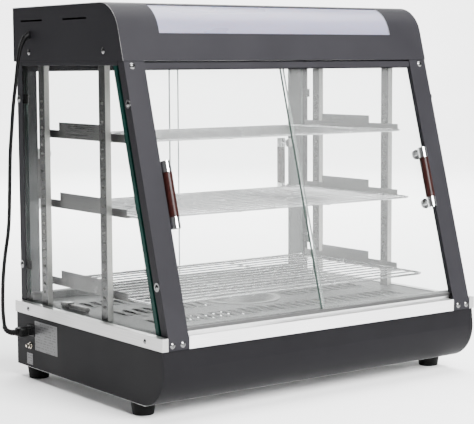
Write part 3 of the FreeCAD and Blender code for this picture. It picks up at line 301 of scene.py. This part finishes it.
def upright_steel():
    """Roll-formed channel with painted light and shade: the faces that look along Y, to the front and back,
    get a much lighter tone than the duller slotted sides.
    """
    s = Shader("upright_steel_painted_light_look")
    streak = s.noise(s.place((900, 900, 9)), 1.0, 4.0, 0.6)
    # Painted light and shade: one steel, lighter on the faces along Y and darker on the slotted sides.
    face = s.span(s.facing((0, 1, 0)), 0.0, 1.0, 0.6, 0.8)
    side = s.mix(streak, grey(0.028, (1, 0.985, 0.96)), grey(0.046, (1, 0.985, 0.96)))
    painted_lit_face_tone = s.mix(streak, grey(0.22, (1, 0.985, 0.94)), grey(0.30, (1, 0.985, 0.94)))
    s.set(Base_Color=s.mix(face, side, painted_lit_face_tone), Metallic=0.9, Roughness=s.span(streak, 0.28, 0.42))
    s.bump(streak, 0.1, 0.0001)
    return s.material


def zinc(name, low, high):
    """Galvanised sheet: soft spangles of dull grey."""
    s = Shader(name)
    cells = s.node("TexVoronoi", {"Vector": s.place(), "Scale": 90.0}).outputs["Color"]
    tone = s.node("SeparateColor", {0: cells}).outputs[0]
    s.set(Base_Color=s.mix(tone, grey(low), grey(high)), Metallic=0.8, Roughness=s.span(tone, 0.35, 0.5))
    return s.material


def anodised():
    """Dark anodised aluminium with faint draw lines along it."""
    return brushed("track_look", 0.035, 0.075, 0.42, 0, metallic=0.6)


def wire_chrome(name, low, high, rough):
    """Bright plating with light handling marks."""
    s = Shader(name)
    cloud = s.noise(s.place(), 60.0, 4.0)
    s.set(
        Base_Color=s.mix(cloud, grey(low), grey(high, (1, 1, 1.02))), Metallic=1.0,
        Roughness=s.span(cloud, rough, rough + 0.12, 0.3, 0.7),
    )
    s.bump(s.noise(s.place(), 900.0), 0.03, 0.0001)
    return s.material


def pane_glass(name, normal, rim_color, clear=1.0, sheen=0.25, band=None):
    """Clear float glass with tinted cut edges; lamps shine through it.

    A face that doesn't look along the pane's normal is a cut edge. Panes that are less than clear have a
    film of dust and grease. A band is a plane (a, b, c, d): only the cut edge on it is tinted, and its
    tint shows through the face beside it.
    """
    s = Shader(name)
    edge = s.math("LESS_THAN", s.facing(normal), 0.8)
    smear = s.noise(s.place((1, 1, 2.5)), 5.0, 4.0)
    s.set(
        Base_Color=(0.985, 0.995, 0.99, 1), Roughness=s.span(smear, 0.0, 0.02, 0.45, 0.9),
        Transmission_Weight=clear, IOR=1.1, Coat_Weight=sheen, Coat_Roughness=0.02,
    )
    if band is not None:
        away = s.math("SUBTRACT", s.dot(s.spot(), band[:3]), band[3])
        edge = s.span(away, 1.0, 0.0, 0.0088, 0.0104)
    deep = tuple(channel * 0.45 for channel in rim_color)
    rim = s.node("BsdfPrincipled", {
        "Base Color": s.ramp(s.noise(s.place(), 30.0), [(0.3, deep), (0.75, rim_color)]),
        "Roughness": 0.3, "Specular IOR Level": 0.04,
    })
    sided = s.node("MixShader", {0: edge, 1: s.main.outputs[0], 2: rim.outputs[0]})
    open_shadow = s.node("BsdfTransparent", {"Color": (0.95, 0.98, 0.965, 1)})
    shadow = s.node("LightPath").outputs["Is Shadow Ray"]
    lit = s.node("MixShader", {0: shadow, 1: sided.outputs[0], 2: open_shadow.outputs[0]})
    s.feed(s.out.inputs["Surface"], lit.outputs[0])
    return s.material


def varnished_wood():
    """Dark red wood with grain along the bar, under gloss varnish."""
    s = Shader("handle_wood_look")
    grain = s.node("TexNoise", {
        "Vector": s.place((60, 60, 5)), "Scale": 5.0, "Detail": 6.0, "Distortion": 1.6,
    }).outputs["Fac"]
    pores = s.noise(s.place((900, 900, 60)), 1.0, 2.0)
    dark, middle, light = (0.004, 0.0010, 0.0009), (0.013, 0.0026, 0.0022), (0.026, 0.0058, 0.0045)
    tone = s.ramp(grain, [(0.30, dark), (0.50, middle), (0.72, light)])
    tone = s.mix(s.span(pores, 0.35, 0.0, 0.25, 0.45), tone, (0.02, 0.004, 0.003, 1))
    s.set(
        Base_Color=tone, Roughness=s.span(grain, 0.34, 0.46), Specular_IOR_Level=0.12,
        Coat_Weight=0.10, Coat_Roughness=0.15,
    )
    s.bump(pores, 0.08, 0.0001)
    return s.material


def plastic(name, color, rough):
    """Moulded plastic with a fine spark-eroded grain."""
    s = Shader(name)
    cloud = s.noise(s.place(), 40.0, 3.0)
    dark = tuple(channel * 0.82 for channel in color)
    s.set(
        Base_Color=s.mix(cloud, (*dark, 1), (*color, 1)), Specular_IOR_Level=0.15,
        Roughness=s.span(cloud, rough - 0.05, rough + 0.05, 0.3, 0.7),
    )
    s.bump(s.noise(s.place(), 2200.0, 2.0), 0.1, 0.0001)
    return s.material


def rubber(name, value, rough):
    """Black rubber with a dusty bloom."""
    s = Shader(name)
    cloud = s.noise(s.place(), 55.0, 5.0)
    s.set(
        Base_Color=s.mix(s.span(cloud, 0.0, 1.0, 0.35, 0.75), grey(value), grey(value * 2.0, (1, 1, 1.04))),
        Roughness=s.span(cloud, rough - 0.07, rough + 0.08, 0.3, 0.7), Specular_IOR_Level=0.10,
    )
    s.bump(s.noise(s.place(), 1500.0), 0.15, 0.0001)
    return s.material


def lamp_diffuser():
    """Lilac-white translucent sheet, with the faint ribbing of an extruded diffuser."""
    s = Shader("window_plastic_look")
    cloud = s.noise(s.place((1, 6, 6)), 3.0, 3.0)
    ribs = s.node("TexWave", {"Vector": s.place(), "Scale": 160.0}, bands_direction="X").outputs["Fac"]
    s.set(
        Base_Color=s.ramp(cloud, [(0.3, (0.150, 0.147, 0.205)), (0.7, (0.185, 0.181, 0.245))]),
        Roughness=s.span(cloud, 0.25, 0.36, 0.3, 0.7), Subsurface_Weight=0.25, Subsurface_Scale=0.01,
    )
    s.bump(ribs, 0.03, 0.0002)
    return s.material


def tube_glass():
    """Frosted lamp tube with darker ends."""
    s = Shader("tube_glass_look")
    along = s.node("SeparateXYZ", {0: s.place()}).outputs[0]
    end = s.span(s.math("ABSOLUTE", along), 0.0, 1.0, 0.205, 0.222)
    s.set(Base_Color=s.mix(end, grey(0.85), grey(0.35)), Roughness=s.span(end, 0.25, 0.4))
    return s.material


def rating_plate():
    """Silver foil label with rows of short dark bars and no lettering."""
    s = Shader("label_foil_look")
    parts = s.node("SeparateXYZ", {0: s.spot()})
    y, z = parts.outputs[1], parts.outputs[2]
    line_pitch, bar_pitch, print_start, print_end = 0.0046, 0.0032, 0.090, 0.190
    row, column = s.math("DIVIDE", z, line_pitch), s.math("DIVIDE", y, bar_pitch)
    in_line = s.math("LESS_THAN", s.math("FRACT", row), 0.42)
    cell = s.node("CombineXYZ", {1: s.math("FLOOR", column), 2: s.math("FLOOR", row)}).outputs[0]
    chance = s.node("TexWhiteNoise", {"Vector": cell}).outputs["Value"]
    mark = s.math("MULTIPLY", in_line, s.math("GREATER_THAN", chance, 0.42))
    inner = s.math("MULTIPLY", s.math("GREATER_THAN", y, print_start), s.math("LESS_THAN", y, print_end))
    wear_and_painted_highlight = s.noise(s.place(), 70.0, 4.0)
    foil = s.mix(wear_and_painted_highlight, grey(0.060), grey(0.088, (1, 1, 1.05)))
    s.set(
        Base_Color=s.mix(s.math("MULTIPLY", s.math("MULTIPLY", mark, inner), 0.78), foil, grey(0.02)),
        Roughness=s.span(wear_and_painted_highlight, 0.35, 0.5), Metallic=0.25,
    )
    return s.material


def stained_steel():
    """Heat-coloured element sheath."""
    s = Shader("element_look")
    cloud = s.noise(s.place(), 12.0, 4.0)
    tone = s.ramp(cloud, [(0.25, (0.10, 0.09, 0.11)), (0.5, (0.28, 0.22, 0.15)), (0.8, (0.35, 0.33, 0.32))])
    s.set(Base_Color=tone, Metallic=1.0, Roughness=s.span(cloud, 0.35, 0.5))
    return s.material


LEAN = math.radians(15.66)
LEAN_NORMAL = (0, -math.cos(LEAN), math.sin(LEAN))
GREEN_EDGE = (0.003, 0.032, 0.025)
PALE_EDGE = (0.10, 0.14, 0.125)


def side_band():
    """The plane of a side pane's leaning front edge, facing into the pane."""
    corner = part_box("side_glass_left")[0]
    inward = -Vector(LEAN_NORMAL)
    return (*inward, inward.dot(Vector((0, corner.y, corner.z))))


def dress():
    """Gives every CAD node its material."""
    paint = powder_coat()
    # Painted shade: the base panels get a much darker copy of the charcoal powder coat used on the posts and
    # canopy.
    shaded_base_paint = powder_coat("base_paint_shaded_look", 0.0052, 0.0072)
    steel = brushed("trim_steel_look", 0.72, 0.90, 0.30, 0)
    steel_side = brushed("trim_side_look", 0.34, 0.48, 0.36, 1, (1, 0.995, 0.985))
    floor = brushed("floor_steel_look", 0.040, 0.060, 0.45, 0, (0.97, 1, 0.99), metallic=0.5, glare=0.25)
    shelf = brushed("shelf_steel_look", 0.090, 0.130, 0.30, 1, (1, 0.995, 0.985), glare=0.6)
    black = plastic("black_plastic_look", (0.0040, 0.0040, 0.0044), 0.42)
    ends = [name for name in NODES if name.endswith("handle_ends")]
    grips = [name for name in NODES if name.endswith("handle_grip")]
    looks = {
        paint: [
            "front_post_left", "front_post_right", "rear_post_left", "rear_post_right", "front_header",
            "rear_header", "side_headers", "canopy_end_left", "canopy_end_right",
        ],
        shaded_base_paint: ["base_front_panel", "base_side_left", "base_side_right", "base_rear_panel"],
        # The canopy cover's paint carries a painted highlight on its cut edges that face along X.
        powder_coat("canopy_paint_edge_highlight_look", 0.0122, 0.0152, (1, 0, 0)): ["canopy_cover"],
        steel: ["trim_front"],
        steel_side: ["trim_surround"],
        floor: ["floor_plate"],
        brushed("pan_steel_look", 0.12, 0.18, 0.35, 0, (1, 1, 0.99), glare=0.5): ["water_pan"],
        zinc("base_zinc_look", 0.50, 0.68): ["base_pan"],
        # Painted shade: the ceiling plate is the same galvanised sheet as the base pan, made nearly black.
        zinc("ceiling_zinc_painted_shade_look", 0.012, 0.022): ["ceiling_plate"],
        anodised(): ["front_track", "rear_track"],
        upright_steel(): ["shelf_uprights"],
        shelf: ["shelf_brackets"],
        wire_chrome("rack_chrome_look", 0.42, 0.56, 0.16): ["rack_upper", "rack_middle", "rack_lower"],
        wire_chrome("handle_chrome_look", 0.55, 0.75, 0.05): ends,
        varnished_wood(): grips,
        pane_glass("side_glass_look", (1, 0, 0), GREEN_EDGE, 1.0, 0.03, side_band()): [
            "side_glass_left", "side_glass_right",
        ],
        pane_glass("front_glass_look", LEAN_NORMAL, PALE_EDGE, 0.965, 0.20): [
            "front_left_door_glass", "front_right_door_glass",
        ],
        pane_glass("rear_glass_look", (0, 1, 0), PALE_EDGE, 0.98, 0.15): [
            "rear_left_door_glass", "rear_right_door_glass",
        ],
        lamp_diffuser(): ["lamp_window"],
        tube_glass(): ["lamp_tube"],
        black: [
            "lamp_holders", "thermostat_body", "thermostat_knob", "control_fascia", "appliance_inlet",
            "cord_glands",
        ],
        plastic("rocker_red_look", (0.42, 0.03, 0.02), 0.3): ["heat_switch_rocker"],
        plastic("rocker_green_look", (0.03, 0.26, 0.06), 0.3): ["light_switch_rocker"],
        stained_steel(): ["heating_element"],
        brushed("bulb_look", 0.07, 0.11, 0.35, 1, (1, 0.95, 0.90)): ["thermostat_bulb"],
        rubber("foot_rubber_look", 0.0018, 0.6): ["feet"],
        rubber("lead_rubber_look", 0.0020, 0.42): ["lamp_lead", "lead_plug"],
        brushed("terminal_look", 0.30, 0.45, 0.25, 0, (1, 0.93, 0.80)): ["earth_terminal"],
        rating_plate(): ["labels"],
        brushed("screw_look", 0.11, 0.20, 0.20, 2): ["case_screws", "glass_clips"],
    }
    for look, names in looks.items():
        for name in names:
            for slot in NODES[name].material_slots:
                slot.material = look
    for name in looks[paint] + looks[shaded_base_paint] + ["canopy_cover"]:
        soften(name, 0.5)
    for name in ("trim_front", "trim_surround", "front_track", "rear_track", "shelf_brackets"):
        soften(name, 0.25)
    for name in looks[black] + ["heat_switch_rocker", "light_switch_rocker", "earth_terminal"]:
        soften(name, 0.3)
    soften("feet", 1.0)


# ---------------------------------------------------------------- the lamp lead and its plug

# The lead's route, from the nozzle on the canopy down to the boot of its plug, in metres.
LEAD_ROUTE = [
    (-0.3256, 0.182, 0.5948), (-0.334, 0.182, 0.583), (-0.341, 0.1815, 0.5546), (-0.346, 0.181, 0.516),
    (-0.3526, 0.180, 0.478), (-0.3562, 0.1795, 0.439), (-0.3604, 0.179, 0.401), (-0.363, 0.178, 0.349),
    (-0.3649, 0.178, 0.297), (-0.3675, 0.178, 0.262), (-0.3744, 0.1775, 0.228), (-0.3795, 0.177, 0.192),
    (-0.382, 0.1765, 0.154), (-0.3824, 0.1762, 0.121), (-0.380, 0.176, 0.101),
]
LEAD_DIAMETER = 0.0065

# The boot's middle line, from the plug's body up to the lead, in metres.
BOOT_ROUTE = [(-0.356, 0.176, 0.087), (-0.3782, 0.176, 0.087), (-0.380, 0.176, 0.101)]
PLUG_MIDDLE = Vector((0, 0.176, 0.087))


def make_route(name, route, radius=0.0):
    """An open NURBS curve with the route's points as its control points."""
    curve = bpy.data.curves.new(name, "CURVE")
    curve.dimensions = "3D"
    curve.bevel_depth = radius
    curve.bevel_resolution = 5
    curve.use_fill_caps = radius > 0
    line = curve.splines.new("NURBS")
    line.points.add(len(route) - 1)
    for point, place in zip(line.points, route):
        point.co = (*place, 1)
    line.order_u = 3
    line.use_endpoint_u = True
    line.resolution_u = 24
    made = bpy.data.objects.new(name, curve)
    bpy.context.scene.collection.objects.link(made)
    return made


def read_route(route, length=1.0):
    """Evenly spaced points along the smooth curve of a route, up to a length."""
    step = 0.4 * MM
    bare = make_route("bare_route", route)
    mesh = bpy.data.meshes.new_from_object(bare)
    line = [vertex.co.copy() for vertex in mesh.vertices]
    bpy.data.objects.remove(bare)
    points, travelled, wanted = [], 0.0, 0.0
    for start, end in zip(line, line[1:]):
        run = (end - start).length
        while wanted <= travelled + run and wanted <= length:
            points.append(start.lerp(end, (wanted - travelled) / run))
            wanted += step
        travelled += run
    return points


def sweep(mesh, points, radii, sides=32):
    """A closed round skin along points, with a radius at each one."""
    across = Vector((0, 1, 0))
    rings = []
    for number, point in enumerate(points):
        before, after = points[max(number - 1, 0)], points[min(number + 1, len(points) - 1)]
        along = (after - before).normalized()
        across = (across - along * across.dot(along)).normalized()
        third = along.cross(across)
        rings.append([
            mesh.verts.new(point + (across * math.cos(turn) + third * math.sin(turn)) * radii[number])
            for turn in (2 * math.pi * side / sides for side in range(sides))
        ])
    skin(mesh, rings)


def skin(mesh, rings):
    """Joins rings of vertices one after another and closes both ends."""
    count = len(rings[0])
    for near, far in zip(rings, rings[1:]):
        for i in range(count):
            mesh.faces.new((near[i], near[(i + 1) % count], far[(i + 1) % count], far[i]))
    mesh.faces.new(list(reversed(rings[0])))
    mesh.faces.new(rings[-1])


def ribbed(count, start, end, grooves, depth):
    """Radii of a tapered sleeve with rounded grooves round it and smooth ends, which are rounded off."""
    tail = 0.12
    radii = []
    for number in range(count):
        share = number / (count - 1)
        radius = start + (end - start) * share
        if tail < share < 1 - tail:
            wave = math.sin(math.pi * grooves * (share - tail) / (1 - 2 * tail)) ** 2
            radius -= depth * max(0.0, 2 * wave - 1) ** 0.5
        radii.append(radius)
    radii[0] -= 0.2 * MM
    radii[-1] -= 0.4 * MM
    return radii


def finish_piece(piece, body, look, angle=40):
    """Smooth shading, material, body and slot of a new piece."""
    for face in piece.data.polygons:
        face.use_smooth = True
    piece.data.set_sharp_from_angle(angle=math.radians(angle))
    piece.data.materials.append(look)
    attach(piece, body)


def make_plug(look):
    """The moulded plug: rounded body with a shoulder and side grips, and a ribbed, tapered, curved boot."""
    mesh = bmesh.new()
    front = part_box("lead_plug")[1].x
    # How far back from the front, half width and half height, in millimetres.
    sections = [
        (0.0, 9.6, 6.6), (0.5, 10.0, 7.0), (5.0, 10.0, 7.0), (5.6, 9.5, 6.6), (6.2, 9.5, 6.6),
        (6.8, 10.6, 7.6), (7.4, 10.9, 7.9), (13.0, 11.1, 8.1), (19.5, 10.7, 7.9), (21.8, 9.6, 7.2),
        (23.0, 7.6, 6.1), (23.4, 5.6, 5.2),
    ]
    sides = 48
    rings = []
    for back, wide, tall in sections:
        ring = []
        for side in range(sides):
            turn = 2 * math.pi * side / sides
            cosine, sine = math.cos(turn), math.sin(turn)
            square = (abs(cosine) ** 5 + abs(sine) ** 5) ** -0.2
            ring.append(mesh.verts.new((
                front - back * MM, PLUG_MIDDLE.y + wide * MM * cosine * square,
                PLUG_MIDDLE.z + tall * MM * sine * square,
            )))
        rings.append(list(reversed(ring)))
    skin(mesh, rings)
    grip_radii = [0.25 * MM] + [0.75 * MM] * 9 + [0.25 * MM]
    for side in (-1, 1):
        for number in range(5):
            middle = PLUG_MIDDLE + Vector((front - (9.2 + 2.1 * number) * MM, side * 10.75 * MM, 0))
            sweep(mesh, [middle + Vector((0, 0, step * 0.9 * MM)) for step in range(-5, 6)], grip_radii, 12)
    boot = read_route(BOOT_ROUTE)
    sweep(mesh, boot, ribbed(len(boot), 5.6 * MM, 4.0 * MM, 6, 0.7 * MM))
    bmesh.ops.recalc_face_normals(mesh, faces=mesh.faces)
    plug = new_object("plug_body", mesh)
    finish_piece(plug, "case", look)
    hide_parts("lead_plug")
    return plug


def make_relief(look):
    """The tapered, ribbed strain relief where the lead leaves the canopy."""
    mesh = bmesh.new()
    points = read_route(LEAD_ROUTE, 0.026)
    sweep(mesh, points, ribbed(len(points), 4.9 * MM, 3.55 * MM, 6, 0.6 * MM))
    bmesh.ops.recalc_face_normals(mesh, faces=mesh.faces)
    relief = new_object("lead_strain_relief", mesh)
    finish_piece(relief, "case", look)
    return relief


def make_lead():
    """The lead as one smooth curve along its route, with its plug and its strain relief."""
    look = NODES["lamp_lead"].material_slots[0].material
    lead = make_route("lead_curve", LEAD_ROUTE, LEAD_DIAMETER / 2)
    lead.data.materials.append(look)
    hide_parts("lamp_lead")
    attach(lead, "case")
    make_plug(look)
    make_relief(look)


# ---------------------------------------------------------------- the thermostat knob

def make_knob():
    """A fluted knob with a skirt and a white pointer line, and a ring of ticks on the fascia round it."""
    low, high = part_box("thermostat_knob")
    middle = Vector(((low.x + high.x) / 2, 0, (low.z + high.z) / 2))
    skirt, face = (high.x - low.x) / 2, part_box("control_fascia")[1].y
    mesh = bmesh.new()
    skirt_y, flutes, flute_deep = 0.2308, 18, 0.55
    # How far out from the skirt's back, radius in millimetres, and share of the flutes' depth.
    outline = [
        (0.0, 17.2, 0), (0.4, 18.0, 0), (2.2, 18.0, 0), (2.9, 17.3, 0), (3.2, 14.6, 0.6), (4.0, 13.9, 1),
        (9.6, 13.3, 1), (10.7, 12.6, 0.6), (11.1, 11.4, 0),
    ]
    sides = 144
    rings = []
    for out, radius, flute in outline:
        ring = []
        for side in range(sides):
            turn = 2 * math.pi * side / sides
            reach = (radius - flute_deep * flute * (0.5 + 0.5 * math.cos(flutes * turn))) * MM
            ring.append(mesh.verts.new((
                middle.x + reach * math.cos(turn), min(skirt_y + out * MM, high.y),
                middle.z + reach * math.sin(turn),
            )))
        rings.append(ring)
    skin(mesh, rings)
    bmesh.ops.recalc_face_normals(mesh, faces=mesh.faces)
    knob = new_object("knob_body", mesh)
    finish_piece(knob, "knob", NODES["thermostat_knob"].material_slots[0].material, 30)
    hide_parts("thermostat_knob")
    white = plastic("print_look", (0.55, 0.55, 0.55), 0.5)
    pointer = bmesh.new()
    add_bar(pointer, middle + Vector((0, high.y - 0.0002, 0.0075)), (1.2, 0.4, 6.0), 0)
    line = new_object("knob_pointer", pointer)
    finish_piece(line, "knob", white)
    ticks = bmesh.new()
    for number in range(11):
        turn = math.radians(30 * number)
        out = Vector((math.sin(turn), 0, math.cos(turn)))
        size = (0.9, 0.5, 3.4) if number % 5 == 0 else (0.6, 0.5, 2.2)
        add_bar(ticks, middle + Vector((0, face - 0.0008, 0)) + out * (skirt + 0.0032), size, turn)
    dial = new_object("dial_ticks", ticks)
    finish_piece(dial, "case", white)


def add_bar(mesh, place, size, turn):
    """A small printed bar, turned about Y, with its corners taken off."""
    wide, deep, tall = (value * MM / 2 for value in size)
    corner = wide * 0.5
    loop = [
        (-wide + corner, -tall), (wide - corner, -tall), (wide, -tall + corner), (wide, tall - corner),
        (wide - corner, tall), (-wide + corner, tall), (-wide, tall - corner), (-wide, -tall + corner),
    ]
    rings = []
    for y in (-deep, deep):
        rings.append([mesh.verts.new(place + Vector((
            x * math.cos(turn) + z * math.sin(turn), y, z * math.cos(turn) - x * math.sin(turn)
        ))) for x, z in loop])
    skin(mesh, rings)


make_camera()
make_lights()
make_stage()
dress()
make_lead()
make_knob()
